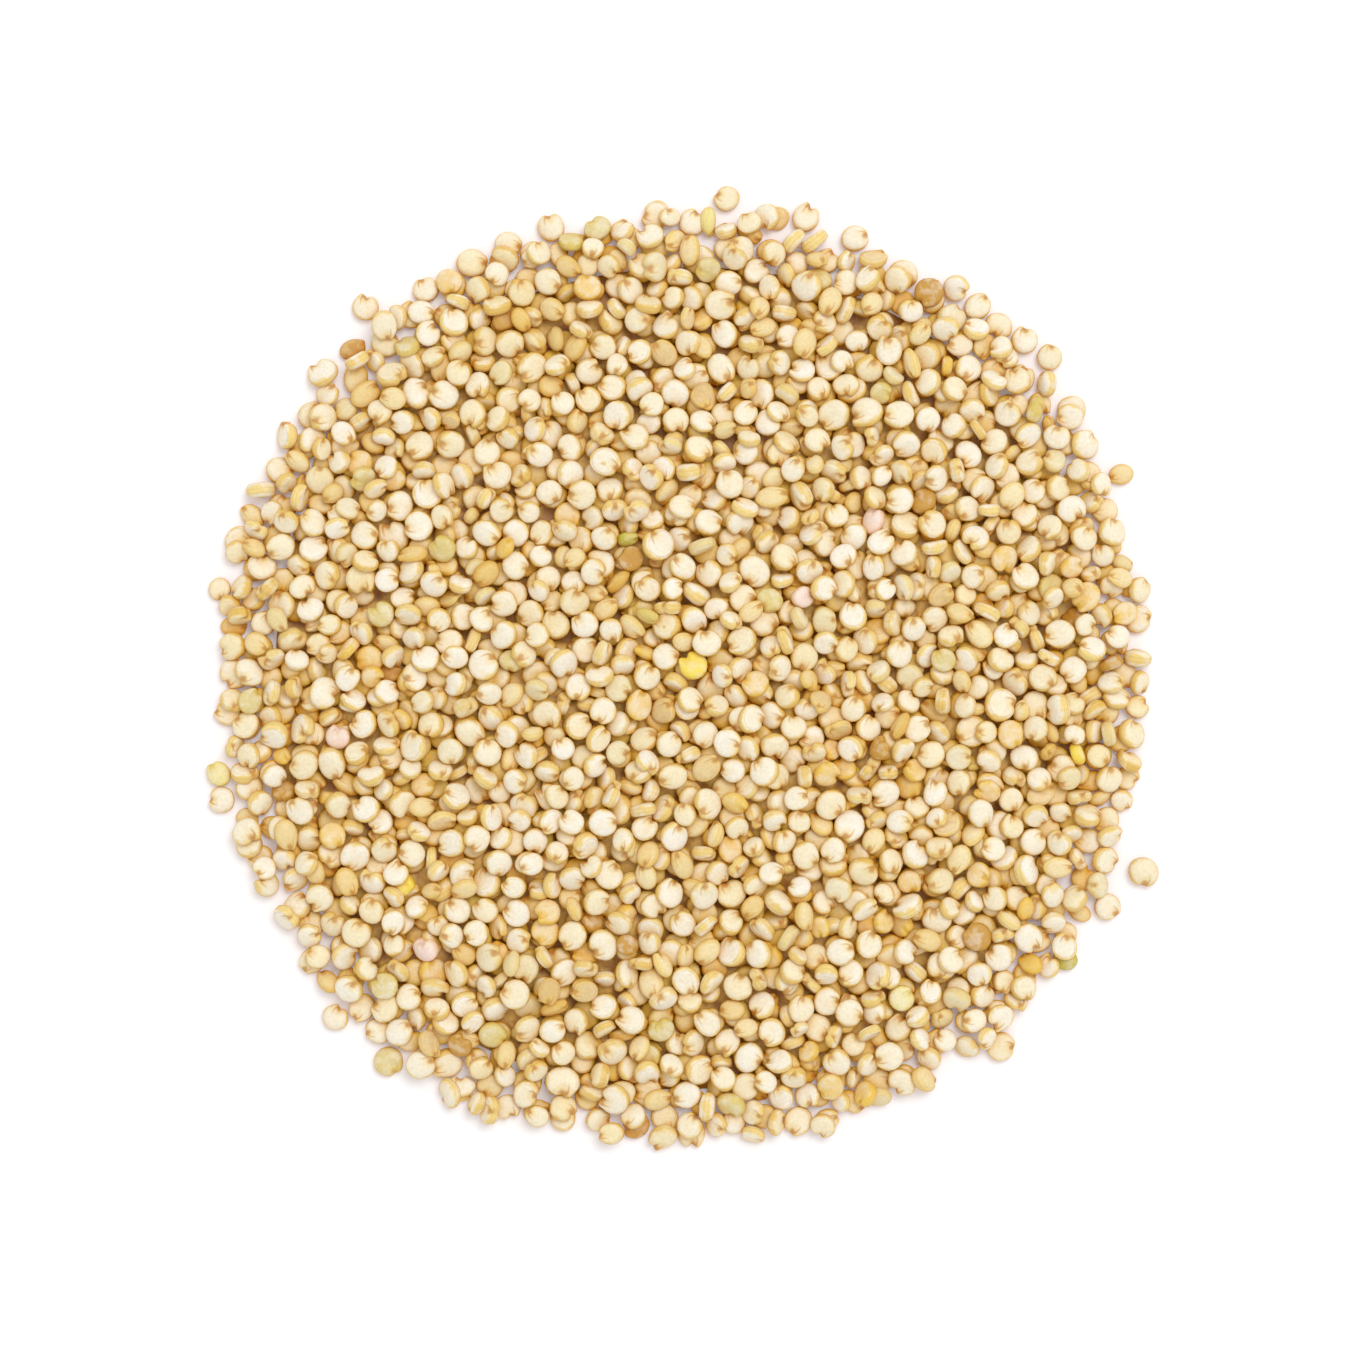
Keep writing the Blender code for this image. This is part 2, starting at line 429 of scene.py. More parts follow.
@dataclass(frozen=True)
class GrainForm:
    """The form of one kind of grain, in shares of its radius. The germ points along +X, the better face up.

    Attributes:
        kind: The kind of grain.
        share: How common it is among the heap's grains.
        length: How long it is along the germ's way.
        width: How wide it is.
        thickness: Its half height.
        squareness: How square its rim is: small for a coin, 1 for a lens.
        dome: How domed its faces are: small for flat, 1 for round.
        dish: How far the middle of each face sinks.
        notch: How deep the bite beside the germ is.
        valley: How deep the valley is that runs from the bite into the face.
        beak: How far the germ's tip stands out.
        lumps: How uneven it is.
        segments: How many points each ring has.
        latitudes_degrees: Where its rings lie, from the better face to the other.
        crowding: How far the points of a ring crowd towards the germ.
        variants: How many forms of this kind are made.
    """

    kind: Kind
    share: float
    length: float = 1.0
    width: float = 1.0
    thickness: float = 0.52
    squareness: float = 0.5
    dome: float = 0.8
    dish: float = 0.0
    notch: float = 0.08
    valley: float = 0.12
    beak: float = 0.06
    lumps: float = 0.04
    segments: int = 24
    latitudes_degrees: tuple[float, ...] = (76.0, 59.0, 43.0, 29.0, 15.0, 0.0, -18.0, -48.0)
    crowding: float = 0.45
    variants: int = 4

    # How far grains of one kind differ, as shares of their notch and beak, and in radians for the bite
    NOTCH_SPREAD = (0.6, 1.3)
    BEAK_SPREAD = (0.5, 1.4)
    BITE_WIDTHS = (0.2, 0.32)
    # Where the germ's tip is beside the bite and how wide it is, in radians
    BEAK_TURN = 0.45
    BEAK_WIDTH = 0.26
    RIDGE_WIDTH_SQUARED = 0.08
    RIDGE_RUN = (0.7, 0.95)
    # How the valley bends away from the germ, how wide it is and where it fades, in shares of the radius
    VALLEY_BEND = 0.35
    VALLEY_WIDTH = 0.24
    VALLEY_RUN = (0.15, 0.8)

    def faces(self) -> list[tuple[int, ...]]:
        """Lists the faces of the grain, from one pole over its rings to the other.

        Returns:
            The faces as numbers of its points.
        """
        rings, count = len(self.latitudes_degrees), self.segments
        last = rings * count + 1
        found: list[tuple[int, ...]] = []
        for here in range(count):
            after = (here + 1) % count
            found.append((0, 1 + here, 1 + after))
            for ring in range(rings - 1):
                upper, lower = 1 + ring * count, 1 + (ring + 1) * count
                found.append((lower + here, lower + after, upper + after, upper + here))
            found.append((last, last - count + after, last - count + here))
        return found

    def points(self, rng: np.random.Generator) -> tuple[np.ndarray, np.ndarray]:
        """Works out one grain of this kind, uneven in its own way.

        Args:
            rng: The random numbers that make it uneven.

        Returns:
            The grain's points, and where each lies on a plain disc, which its seed coat is painted by.
        """
        even = np.linspace(0, math.tau, self.segments, endpoint=False)
        angle = (even - self.crowding * np.sin(even))[None, :]
        latitude = np.radians(self.latitudes_degrees)[:, None]
        across = np.cos(latitude) ** self.squareness
        up = np.sign(latitude) * np.abs(np.sin(latitude)) ** self.dome
        from_germ = np.angle(np.exp(1j * angle))
        notch, beak = self.notch * rng.uniform(*self.NOTCH_SPREAD), self.beak * rng.uniform(*self.BEAK_SPREAD)
        bite = notch * bell(from_germ, 0.0, rng.uniform(*self.BITE_WIDTHS))
        horn = beak * bell(from_germ, self.BEAK_TURN, self.BEAK_WIDTH)
        swell = sum(
            rng.normal(0, self.lumps / waves) * np.cos(waves * angle + rng.uniform(0, math.tau))
            for waves in (2, 3, 4)
        )
        reach = across * (1 + (swell - bite + horn) * across**2)
        x = reach * np.cos(angle) * self.length
        y = reach * np.sin(angle) * self.width
        disc_x, disc_y = across * np.cos(angle), across * np.sin(angle)
        bend = disc_y - self.VALLEY_BEND * (1 - disc_x)
        furrow = self.valley * bell(bend, 0.0, self.VALLEY_WIDTH) * smooth_step(disc_x, *self.VALLEY_RUN)
        hump = np.exp(-((from_germ - self.BEAK_TURN) ** 2) / self.RIDGE_WIDTH_SQUARED)
        ridge = self.beak * hump * smooth_step(across, *self.RIDGE_RUN)
        relief = (furrow - ridge) * np.sqrt(np.abs(up)) * np.sign(up)
        z = self.thickness * up * (1 - self.dish * (1 - across**2)) - relief
        lean = rng.normal(0, self.lumps, 4)
        z = z + lean[0] * x * y + lean[1] * (x**2 - y**2) + (lean[2] * x + lean[3] * y) * up
        pole = self.thickness * (1 - self.dish)
        shape = np.stack([x, y, z], axis=-1).reshape(-1, 3)
        disc = np.stack(np.broadcast_arrays(disc_x, disc_y, up), axis=-1)
        shape = np.vstack([(0, 0, pole), shape, (0, 0, -pole)])
        return shape, np.vstack([(0, 0, 1), disc.reshape(-1, 3), (0, 0, -1)])

    def skin(self, points: np.ndarray, steps: int = 4) -> np.ndarray:
        """Spreads points closely over the grain's skin, to press it into the ground.

        Args:
            points: The grain's points.
            steps: How many points each face gets along each side.

        Returns:
            The points of the skin.
        """
        quads = np.array([face if len(face) == 4 else (*face, face[2]) for face in self.faces()])
        corners = points[quads]
        spread = (np.arange(steps) + 0.5) / steps
        across, along = (grid.reshape(-1, 1) for grid in np.meshgrid(spread, spread))
        weights = ((1 - across) * (1 - along), across * (1 - along), across * along, (1 - across) * along)
        placed = sum(weight[None] * corners[:, None, number] for number, weight in enumerate(weights))
        return placed.reshape(-1, 3)


GRAIN_FORMS = (
    GrainForm(Kind.PLUMP, 0.23, thickness=0.6, squareness=0.6, dome=0.85, notch=0.08, valley=0.12, beak=0.06),
    GrainForm(
        Kind.BROAD, 0.17, thickness=0.48, squareness=0.48, dome=0.75, notch=0.11, valley=0.14, beak=0.07
    ),
    GrainForm(
        Kind.NOTCHED, 0.23, width=1.03, thickness=0.54, squareness=0.54, notch=0.22, valley=0.24, beak=0.1
    ),
    GrainForm(Kind.RINGED, 0.16, thickness=0.52, squareness=0.45, dome=0.7, dish=0.14, notch=0.12, beak=0.07),
    GrainForm(
        Kind.OVAL, 0.09, length=1.04, width=0.82, thickness=0.52, squareness=0.8, dome=0.95, notch=0.03,
        beak=0.1, lumps=0.05,
    ),
    GrainForm(
        Kind.CURLED, 0.1, thickness=0.52, squareness=0.52, dish=0.08, notch=0.24, valley=0.28, beak=0.16
    ),
    GrainForm(
        Kind.HUSKY, 0.015, width=0.88, thickness=0.46, squareness=0.62, dish=0.16, notch=0.08, beak=0.12,
        lumps=0.06,
    ),
)


class Ground:
    """The height of what lies on the table so far, as a fine square grid."""

    def __init__(self, reach: float, step: float) -> None:
        """Starts a bare table.

        Args:
            reach: Half the width of the grid.
            step: The width of one cell.
        """
        self.reach = reach
        self.step = step
        self.count = round(2 * reach / step) + 1
        self.heights = np.zeros(self.count * self.count)

    def cells(self, x: np.ndarray, y: np.ndarray) -> np.ndarray:
        """Finds the cells at places in the frame.

        Args:
            x: The places along X.
            y: The same places along Y.

        Returns:
            The numbers of the cells.
        """
        column = np.rint((x + self.reach) / self.step).astype(np.int64).clip(0, self.count - 1)
        row = np.rint((y + self.reach) / self.step).astype(np.int64).clip(0, self.count - 1)
        return row * self.count + column

    def places(self) -> tuple[np.ndarray, np.ndarray]:
        """Finds the middles of all cells.

        Returns:
            Their X and Y.
        """
        line = np.arange(self.count) * self.step - self.reach
        x, y = np.meshgrid(line, line)
        return x.ravel(), y.ravel()

    def read(self, x: np.ndarray, y: np.ndarray) -> np.ndarray:
        """The heights at places in the frame."""
        return self.heights[self.cells(x, y)]

    def press(self, points: np.ndarray) -> None:
        """Raises the ground to the points of a grain's skin."""
        np.maximum.at(self.heights, self.cells(points[:, 0], points[:, 1]), points[:, 2])

    def disc(self, place: np.ndarray, radius: float) -> tuple[np.ndarray, np.ndarray]:
        """Finds the cells within a distance of a place.

        Args:
            place: The X and Y of the place.
            radius: The distance.

        Returns:
            The numbers of the cells, and how far each is from the place.
        """
        line = np.arange(-radius, radius + self.step, self.step)
        x, y = (grid.ravel() for grid in np.meshgrid(line, line))
        distance = np.hypot(x, y)
        inside = distance <= radius
        return self.cells(x[inside] + place[0], y[inside] + place[1]), distance[inside]

    def smoothed(self, radius: float) -> np.ndarray:
        """Works out the mean height over a square around each cell.

        Args:
            radius: Half the width of the square.

        Returns:
            The mean heights, one a cell.
        """
        reach = round(radius / self.step)
        grid = self.heights.reshape(self.count, self.count)
        for _ in range(2):
            sums = np.cumsum(np.pad(grid, ((reach + 1, reach), (0, 0)), mode="edge"), axis=0)
            grid = ((sums[2 * reach + 1 :] - sums[: -2 * reach - 1]) / (2 * reach + 1)).T
        return grid.ravel()


@dataclass
class HeapCore:
    """The mound at the heart of the heap, with grain-sized bumps, which the real grains lie on.

    Attributes:
        shape: The form of the heap.
        cover: How far the mound lies below the heap's top in the middle.
        edge_cover: How far it lies below the top at its own edge.
        cover_fades: From where on it nears the top, by the measure of share_out.
        reach: The share of the heap's radius that the mound takes.
        spacing: The least distance between the middles of two bumps.
        bump: How far a bump stands above the valleys beside it.
        bump_width: The radius of a bump, as a share of the spacing.
        underside: How deep the hollows of its underside are, as a share of a bump.
        least_wall: How thick it is at least.
        rings: How many rings of points each side has.
        segments: How many points each ring has.
        throws: How many bumps are thrown.
    """

    shape: HeapShape
    cover: float = 1.95 * MM
    edge_cover: float = 1.3 * MM
    cover_fades: float = 0.4
    reach: float = 0.9
    spacing: float = 1.75 * MM
    bump: float = 0.6 * MM
    bump_width: float = 0.68
    underside: float = 0.6
    least_wall: float = 0.02 * MM
    rings: int = 60
    segments: int = 240
    throws: int = 9000

    def bump_middles(self, rng: np.random.Generator) -> np.ndarray:
        """Throws the middles of the bumps at random, and keeps those that aren't too near another.

        Args:
            rng: The random numbers that throw them.

        Returns:
            The X and Y of each middle.
        """
        limit = self.shape.radius * self.reach
        kept = np.array([self.shape.centre])
        for place in rng.uniform(-limit, limit, (self.throws, 2)) + self.shape.centre:
            if np.hypot(*(kept - place).T).min() > self.spacing:
                kept = np.vstack([kept, place])
        return kept

    def raise_ground(self, ground: Ground, middles: np.ndarray) -> np.ndarray:
        """Raises the mound on the bare table.

        Args:
            ground: The table, which gets the mound's upper skin.
            middles: The middles of its bumps.

        Returns:
            How high up its bump each cell lies, from 0 in a valley to 1 on a top.
        """
        roundness = np.zeros_like(ground.heights)
        radius = self.spacing * self.bump_width
        for middle in middles:
            cells, distance = ground.disc(middle, radius)
            roundness[cells] = np.maximum(roundness[cells], np.sqrt(1 - (distance / radius) ** 2))
        x, y = ground.places()
        out = self.shape.share_out(x, y)
        cover = self.cover + (self.edge_cover - self.cover) * smooth_step(out, self.cover_fades, self.reach)
        height = self.shape.top(x, y) - cover - self.bump * (1 - roundness)
        ground.heights = np.where(out < self.reach, np.clip(height, 0.0, None), 0.0)
        return roundness

    def build(self, ground: Ground, roundness: np.ndarray, finish: Material) -> Object:
        """Builds the mound.

        Args:
            ground: The table with the mound's upper skin.
            roundness: How high up its bump each cell of the table lies.
            finish: The mound's material.

        Returns:
            The mound.
        """
        angle = np.linspace(0, math.tau, self.segments, endpoint=False)[None, :]
        share = (np.arange(1, self.rings + 1) / self.rings)[:, None] * self.reach
        distance = share * (self.shape.outline(angle) - self.shape.grain_radius)
        x = distance * np.cos(angle) + self.shape.centre[0]
        y = distance * np.sin(angle) + self.shape.centre[1]
        x, y = (np.append(grid.ravel(), middle) for grid, middle in zip((x, y), self.shape.centre))
        bumps = roundness[ground.cells(x, y)]
        upper = ground.read(x, y)
        lower = np.minimum(self.bump * self.underside * (1 - bumps), upper * 0.5)
        upper = np.maximum(upper, lower + self.least_wall)
        points = np.vstack([np.stack([x, y, upper], axis=1), np.stack([x, y, lower], axis=1)])
        mesh = bpy.data.meshes.new("heap_core")
        mesh.from_pydata(points.tolist(), [], self.faces(len(x)))
        mesh.attributes.new("bump", "FLOAT", "POINT").data.foreach_set("value", np.tile(bumps, 2))
        mesh.shade_smooth()
        mesh.materials.append(finish)
        return add_object("heap_core", mesh)

    def faces(self, count: int) -> list[tuple[int, ...]]:
        """The faces of the mound: its upper side, its lower side and the wall between them.

        Args:
            count: How many points one side has, the last of which is its middle.

        Returns:
            The faces as numbers of its points.
        """
        found: list[tuple[int, ...]] = []
        for here in range(self.segments):
            after = (here + 1) % self.segments
            found.append((count - 1, here, after))
            found.append((2 * count - 1, count + after, count + here))
            for ring in range(self.rings - 1):
                inner, outer = ring * self.segments, (ring + 1) * self.segments
                found.append((inner + here, outer + here, outer + after, inner + after))
                below = (inner + after, outer + after, outer + here, inner + here)
                found.append(tuple(count + point for point in below))
            rim = (self.rings - 1) * self.segments
            found.append((rim + here, count + rim + here, count + rim + after, rim + after))
        return found


@dataclass
class Grain:
    """One grain that has been laid.

    Attributes:
        kind: The kind of grain.
        variant: Which form of its kind it has.
        centre: Its middle.
        turn: The rotation matrix that lays it down.
        stretch: Its half length, half width and half height for a form of radius 1.
        ripeness: From 0, pale, to 1, deep honey.
        dullness: From 0, floury, to 1, glassy and grey.
        tint: A stain of its coat.
    """

    kind: Kind
    variant: int
    centre: np.ndarray
    turn: np.ndarray
    stretch: np.ndarray
    ripeness: float
    dullness: float
    tint: Tint


@dataclass
class Layer:
    """How one layer of the heap is filled.

    Attributes:
        below_top: How far below the heap's top this layer ends.
        slack: How far the top of a grain may stand out of the layer, at least and at most.
        steep_share: How many of the grains come down in any position at all.
        tip: How far the others are tipped as they come down, in radians.
    """

    below_top: float
    slack: tuple[float, float]
    steep_share: float
    tip: float


class GrainLayer:
    """Lays the grains of the heap one by one.

    Attributes:
        ROUNDS: How often a grain looks for a lower place.
        TRIES: How many places it tries each time.
        LOOKS: How many places are looked at to find a hollow.
        PATIENCE: After how many looks in a row without room a layer is full.
        LEAST_ROOM: The least depth of a hollow that still gets a grain.
        PROBES: How many points round each place are looked at too.
        PROBE_REACH: How far they are from it, as a share of a grain's radius.
        SLIDE: How far a grain slides in one round.
        TIPPING: How far it tips in one round, in radians.
        TIPPING_SHARES: How freely it tips and turns about X, Y and Z.
        FADE: How much of its sliding and tipping it loses from the first round to the last.
        MOST_SLIDE: How far it may slide in all.
        EDGE_SLACK: How much higher grains may stand near the edge.
        EDGE_RISE: Between which shares of the way out that begins and is full.
        EDGE_PILE: How much higher the heap is filled in its outer band.
        EDGE_BAND: Where that band begins, is full, begins to end and ends.
        MEAN_SIZE: The mean width of the grains, as a share of the typical one.
        SIZE_SPREAD: How far their widths differ.
        SIZE_LIMITS: The least and the greatest width.
        STRETCH_SPREAD: How far their length, width and height differ each.
        STRETCH_LIMITS: The least and the greatest of these.
        STEEP_SLACK: How much higher steep grains may stand.
        STEEP_LEAN: How far steep grains lean, in radians, at least and at most.
        STEEP_TIPPING: How far they may tip, from 0 to 1.
        RIPENESS: How ripe grains are, as the two powers of a beta spread.
        RIPER: How much riper the grains in the middle of a ripe patch are.
        DULL_SHARE: How many of the grains are dull.
        DULL: How dull these are, at least and at most.
        DULLNESS: How dull the others are, as the two powers of a beta spread.
        SPOILT: How much less room a place has where a grain didn't fit, and how far round it.
        KEPT_CLEAR: How much less room there is where a stained grain lies, so that no other covers it.
        STAINS: The stains of the other grains, and how common each is.
    """

    ROUNDS = 10
    TRIES = 26
    LOOKS = 70
    PATIENCE = 260
    LEAST_ROOM = 0.3 * MM
    PROBES = 6
    PROBE_REACH = 0.6
    SLIDE = 0.45 * MM
    TIPPING = math.radians(17.0)
    TIPPING_SHARES = (1, 1, 0.3)
    FADE = 0.85
    MOST_SLIDE = 1.5 * MM
    EDGE_SLACK = 0.45 * MM
    EDGE_RISE = (0.75, 0.97)
    EDGE_PILE = 0.55 * MM
    EDGE_BAND = (0.45, 0.8, 0.9, 1.0)
    MEAN_SIZE = 1.03
    SIZE_SPREAD = 0.08
    SIZE_LIMITS = (0.82, 1.18)
    STRETCH_SPREAD = 0.055
    STRETCH_LIMITS = (0.88, 1.12)
    STEEP_SLACK = 0.3 * MM
    STEEP_LEAN = (0.8, 1.5)
    STEEP_TIPPING = 0.3
    RIPENESS = (1.5, 2.4)
    RIPER = 0.45
    DULL_SHARE = 0.05
    DULL = (0.5, 1.0)
    DULLNESS = (1.2, 12)
    SPOILT = (0.5 * MM, 0.6 * MM)
    KEPT_CLEAR = 10.0 * MM
    STAINS = ((Tint.NONE, 0.935), (Tint.GOLDEN, 0.04), (Tint.OLIVE, 0.015), (Tint.BROWN, 0.01))

    def __init__(self, shape: HeapShape, scale: PhotoScale, ground: Ground, rng: np.random.Generator) -> None:
        """Makes the forms of each kind of grain.

        Args:
            shape: The form of the heap.
            scale: The photograph's scale.
            ground: What the grains fall on.
            rng: The random numbers that all draws come from.
        """
        self.shape = shape
        self.scale = scale
        self.ground = ground
        self.rng = rng
        self.grains: list[Grain] = []
        self.forms = {form.kind: form for form in GRAIN_FORMS}
        self.points = {
            kind: [form.points(rng) for _ in range(form.variants)] for kind, form in self.forms.items()
        }
        self.skins = {
            kind: [self.forms[kind].skin(points) for points, _ in made] for kind, made in self.points.items()
        }
        self.ripe_places = np.array([scale.place(patch[:2]) for patch in RIPE_PATCHES_PX])
        self.ripe_spreads = np.array([patch[2] for patch in RIPE_PATCHES_PX]) * scale.metres_per_pixel()
        x, y = ground.places()
        out = shape.share_out(x, y)
        begins, full, fades, ends = self.EDGE_BAND
        piled = self.EDGE_PILE * smooth_step(out, begins, full) * (1 - smooth_step(out, fades, ends))
        self.target = shape.top(x, y) + piled
        self.refused = np.zeros_like(self.target)

    def resting_heights(self, points: np.ndarray, places: np.ndarray, turns: np.ndarray) -> np.ndarray:
        """How high the middle of a grain lies on the ground, for several places and positions.

        Args:
            points: The grain's points about its middle.
            places: The X and Y of its middle, one row a try.
            turns: Its rotation matrices, one a try.

        Returns:
            The height of its middle, one a try.
        """
        turned = points @ turns.transpose(0, 2, 1)
        below = self.ground.read(turned[..., 0] + places[:, None, 0], turned[..., 1] + places[:, None, 1])
        return (below - turned[..., 2]).max(axis=1)

    def settle(
        self,
        points: np.ndarray,
        place: np.ndarray,
        turn: np.ndarray,
        sliding: float = 1.0,
        tipping: float = 1.0,
    ) -> tuple[np.ndarray, np.ndarray]:
        """Lets a grain slide and tip until its middle lies as low as it can.

        Args:
            points: The grain's points about its middle.
            place: Where it comes down, as X and Y.
            turn: The position that it comes down in.
            sliding: How far it may slide, from 0 to 1.
            tipping: How far it may tip, from 0 to 1.

        Returns:
            Its middle and its rotation matrix at rest.
        """
        start = place
        # Every other point is enough to tell where a grain touches
        points = points[::2]
        height = self.resting_heights(points, place[None], turn[None])[0]
        for number in range(self.ROUNDS):
            fade = 1 - self.FADE * number / self.ROUNDS
            slides = self.rng.normal(0, self.SLIDE * fade * sliding, (self.TRIES, 2))
            tips = self.rng.normal(0, self.TIPPING * fade * tipping, (self.TRIES, 3)) * self.TIPPING_SHARES
            places = place + slides
            turns = rotations(tips) @ turn
            heights = self.resting_heights(points, places, turns)
            astray = np.hypot(*(places - start).T) > self.MOST_SLIDE
            astray |= self.shape.share_out(*places.T) > self.shape.ragged_edge(*places.T)
            heights = np.where(astray, np.inf, heights)
            best = int(heights.argmin())
            if heights[best] < height:
                height, place, turn = heights[best], places[best], turns[best]
        return np.array((*place, height)), turn

    def draw_stretch(self, diameter: float) -> np.ndarray:
        """Half the length, width and height of a grain of about that diameter."""
        return self.rng.normal(1, self.STRETCH_SPREAD, 3).clip(*self.STRETCH_LIMITS) * diameter / 2

    def draw_turn(self, lean: float) -> np.ndarray:
        """Draws a position for a grain that comes down, with its germ any way round.

        Args:
            lean: How far it leans, in radians.

        Returns:
            Its rotation matrix.
        """
        heading = rotation(0, 0, self.rng.uniform(0, math.tau))
        way = self.rng.uniform(0, math.tau)
        return rotation(math.cos(way) * lean, math.sin(way) * lean, 0) @ heading

    def keep(
        self, kind: Kind, variant: int, centre: np.ndarray, turn: np.ndarray, stretch: np.ndarray, tint: Tint
    ) -> None:
        """Adds a grain that has come to rest, and raises the ground to it.

        Its ripeness and dullness are drawn here. Riper grains gather in a few patches.

        Args:
            kind: The kind of grain.
            variant: Which form of its kind it has.
            centre: Its middle.
            turn: The rotation matrix that lays it down.
            stretch: Its half length, half width and half height.
            tint: A stain of its coat.
        """
        self.ground.press((self.skins[kind][variant] * stretch) @ turn.T + centre)
        away = np.hypot(*(self.ripe_places - centre[:2]).T) / self.ripe_spreads
        riper = float((self.RIPER * np.exp(-(away**2))).sum())
        ripeness = min(float(self.rng.beta(*self.RIPENESS)) + riper, 1.0)
        dull = self.rng.random() < self.DULL_SHARE
        dullness = float(self.rng.uniform(*self.DULL) if dull else self.rng.beta(*self.DULLNESS))
        self.grains.append(Grain(kind, variant, centre, turn, stretch, ripeness, dullness, tint))

    def lay_marked(self, marked: Marked, freedom: float) -> None:
        """Lays a grain that the photograph shows in one certain place, face up.

        Args:
            marked: The grain.
            freedom: How far it may slide, from 0 to 1.
        """
        variant = int(self.rng.integers(self.forms[marked.kind].variants))
        stretch = self.draw_stretch(marked.span_px * self.scale.metres_per_pixel())
        heading = rotation(0, 0, math.radians(marked.heading_degrees))
        points = self.points[marked.kind][variant][0] * stretch
        centre, turn = self.settle(points, self.scale.place(marked.pixel), heading, freedom)
        self.keep(marked.kind, variant, centre, turn, stretch, marked.tint)

    def deepest_hollow(self, below_top: float) -> tuple[np.ndarray, float]:
        """Looks at random places and finds the one where the heap is still the lowest.

        Args:
            below_top: How far below the heap's top this layer ends.

        Returns:
            The place, and how much room is left there.
        """
        angle = self.rng.uniform(0, math.tau, self.LOOKS)
        share = np.sqrt(self.rng.uniform(0, 1, self.LOOKS))
        out = share * (self.shape.outline(angle) - self.shape.grain_radius)
        places = np.stack([np.cos(angle) * out, np.sin(angle) * out], axis=1) + self.shape.centre
        around = np.linspace(0, math.tau, self.PROBES, endpoint=False)
        ring = np.stack([np.cos(around), np.sin(around)], axis=1) * self.shape.grain_radius * self.PROBE_REACH
        probes = places[:, None] + np.vstack([(0, 0), ring])[None]
        cells = self.ground.cells(probes[..., 0], probes[..., 1])
        room = self.target[cells] - below_top - self.ground.heights[cells] - self.refused[cells]
        room = room.mean(axis=1)
        best = int(room.argmax())
        return places[best], float(room[best])

    def refuse(self, place: np.ndarray, amount: float, radius: float) -> None:
        """Makes a place less inviting for the grains to come."""
        self.refused[self.ground.disc(place, radius)[0]] += amount

    def fill(self, layer: Layer) -> None:
        """Fills the heap up to a layer's height.

        Args:
            layer: The layer.
        """
        kinds = list(self.forms)
        shares = np.array([self.forms[kind].share for kind in kinds])
        tints, odds = zip(*self.STAINS)
        laid = idle = 0
        while idle < self.PATIENCE:
            place, room = self.deepest_hollow(layer.below_top)
            if room < self.LEAST_ROOM:
                idle += 1
                continue
            kind = kinds[int(self.rng.choice(len(kinds), p=shares / shares.sum()))]
            variant = int(self.rng.integers(self.forms[kind].variants))
            size = float(np.clip(self.rng.normal(self.MEAN_SIZE, self.SIZE_SPREAD), *self.SIZE_LIMITS))
            stretch = self.draw_stretch(self.scale.grain_diameter * size)
            points = self.points[kind][variant][0] * stretch
            steep = self.rng.random() < layer.steep_share
            lean = self.rng.uniform(*self.STEEP_LEAN) if steep else abs(self.rng.normal(0, layer.tip))
            tipping = self.STEEP_TIPPING if steep else 1.0
            centre, turn = self.settle(points, place, self.draw_turn(lean), tipping=tipping)
            top = centre[2] + (points @ turn.T)[:, 2].max()
            limit = self.target[self.ground.cells(centre[0], centre[1])] - layer.below_top
            out = self.shape.share_out(centre[0], centre[1])
            limit += self.EDGE_SLACK * smooth_step(out, *self.EDGE_RISE)
            if top > limit + self.rng.uniform(*layer.slack) + self.STEEP_SLACK * steep:
                self.refuse(place, *self.SPOILT)
                idle += 1
                continue
            self.keep(kind, variant, centre, turn, stretch, tints[int(self.rng.choice(len(tints), p=odds))])
            laid += 1
            idle = 0
        LOG.info("layer %.1f mm below the top: %d grains", layer.below_top / MM, laid)

    def lay_all(self) -> list[Grain]:
        """Lays the whole heap.

        Returns:
            Its loose grains, which lie apart from it.
        """
        for marked in LOOSE_GRAINS:
            self.lay_marked(marked, 0.0)
        loose, self.grains = self.grains, []
        for marked in OUTLINE_GRAINS:
            self.lay_marked(marked, 0.1)
            if marked.tint is not Tint.NONE:
                self.refuse(self.scale.place(marked.pixel), self.KEPT_CLEAR, 0.9 * MM)
        self.fill(Layer(below_top=0.95 * MM, slack=(0.2 * MM, 0.8 * MM), steep_share=0.35, tip=0.5))
        for marked in STAINED_GRAINS:
            self.lay_marked(marked, 0.5)
            self.refuse(self.scale.place(marked.pixel), self.KEPT_CLEAR, 1.15 * MM)
        self.fill(Layer(below_top=0.0, slack=(0.25 * MM, 0.85 * MM), steep_share=0.33, tip=0.4))
        return loose


